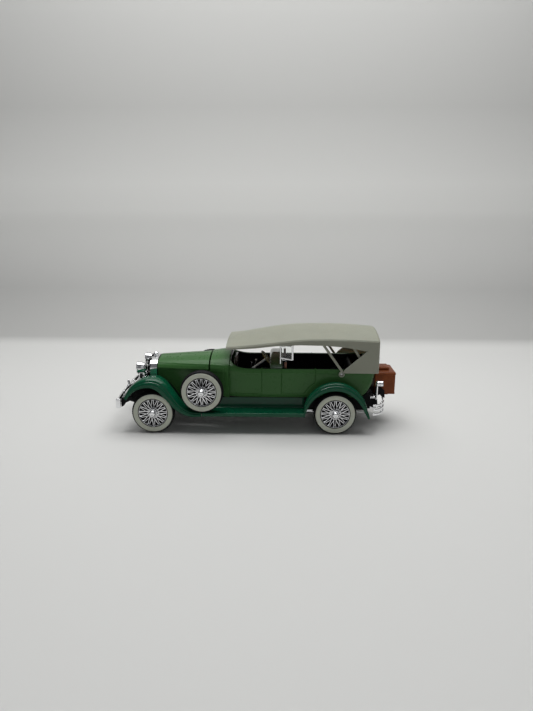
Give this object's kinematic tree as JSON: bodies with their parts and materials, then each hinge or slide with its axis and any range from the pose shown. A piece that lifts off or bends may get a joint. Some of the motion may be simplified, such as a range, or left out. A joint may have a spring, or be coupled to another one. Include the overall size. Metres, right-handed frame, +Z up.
{
  "type": "diecast model car",
  "caption": "Small-scale vintage open touring car with a raised top, wire wheels that roll, an opening hood, two side-mounted spares and a rear trunk.",
  "frame": {"origin": "on the ground under the middle of the car's bounding box", "axes": "+X forwards to the bumper, +Y to the car's left, +Z up"},
  "size_m": [0.1676, 0.0592, 0.061],
  "materials": {
    "body_paint": "satin leaf-green enamel",
    "fender_gloss": "glossy deep blue-green moulding",
    "black_plastic": "dull black moulding",
    "chrome": "bright plated",
    "steel": "plain turned steel",
    "tyre_rubber": "matt black rubber",
    "whitewall": "off-white rubber",
    "glass_clear": "clear moulded plastic",
    "top_cream": "grey-cream moulding, slightly satin",
    "trunk_leather": "brown moulding with a leather look",
    "engine_grey": "grey paint",
    "seat_black": "black moulding",
    "wood_brown": "dark brown moulding",
    "wheel_olive": "glossy olive-brown moulding"
  },
  "bodies": {
    "car": {"base_plate": "black_plastic", "frame_horns": "black_plastic", "base_screws": "steel", "exhaust_pipe": "chrome", "spare_tyres": "tyre_rubber", "spare_wheels": "chrome", "spare_whitewalls": "whitewall", "spare_carriers": "black_plastic", "body_tub": "body_paint", "cowl": "body_paint", "hood_sides": "body_paint", "hood_hinge_pin": "steel", "engine_block": "engine_grey", "radiator_shell": "chrome", "radiator_core": "black_plastic", "radiator_cap": "chrome", "headlamps": "chrome", "headlamp_lenses": "glass_clear", "lamp_bar": "chrome", "horn": "black_plastic", "front_bumper": "chrome", "front_left_fender": "fender_gloss", "front_right_fender": "fender_gloss", "rear_left_fender": "fender_gloss", "rear_right_fender": "fender_gloss", "left_running_board": "fender_gloss", "right_running_board": "fender_gloss", "interior_tub": "seat_black", "front_seat": "seat_black", "rear_seat": "seat_black", "dashboard": "wood_brown", "steering_column": "chrome", "steering_wheel": "wheel_olive", "front_windshield_frame": "chrome", "front_windshield_glass": "glass_clear", "second_cowl": "body_paint", "rear_windshield_frame": "chrome", "rear_windshield_glass": "glass_clear", "roof": "top_cream", "rear_curtain": "top_cream", "top_irons": "top_cream", "trunk_body": "trunk_leather", "trunk_lid": "trunk_leather", "luggage_rack": "black_plastic", "tail_lamps": "chrome", "rear_bumper": "chrome"},
    "front_wheels": {"front_axle": "steel", "front_left_tyre": "tyre_rubber", "front_right_tyre": "tyre_rubber", "front_left_wheel": "chrome", "front_right_wheel": "chrome", "front_whitewalls": "whitewall"},
    "rear_wheels": {"rear_axle": "steel", "rear_left_tyre": "tyre_rubber", "rear_right_tyre": "tyre_rubber", "rear_left_wheel": "chrome", "rear_right_wheel": "chrome", "rear_whitewalls": "whitewall"},
    "hood": {"hood": "body_paint", "hood_hinge_leaf": "steel"}
  },
  "joints": [
    {"name": "front_wheels_roll", "type": "hinge", "parent": "car", "child": "front_wheels", "pos_m": [0.062, 0, 0.0127], "axis": [0, 1, 0], "continuous": true},
    {"name": "rear_wheels_roll", "type": "hinge", "parent": "car", "child": "rear_wheels", "pos_m": [-0.046, 0, 0.0127], "axis": [0, 1, 0], "continuous": true},
    {"name": "hood_open", "type": "hinge", "parent": "car", "child": "hood", "pos_m": [0.0308, 0, 0.0409], "axis": [0, -1, 0], "range_deg": [0, 50]}
  ]
}
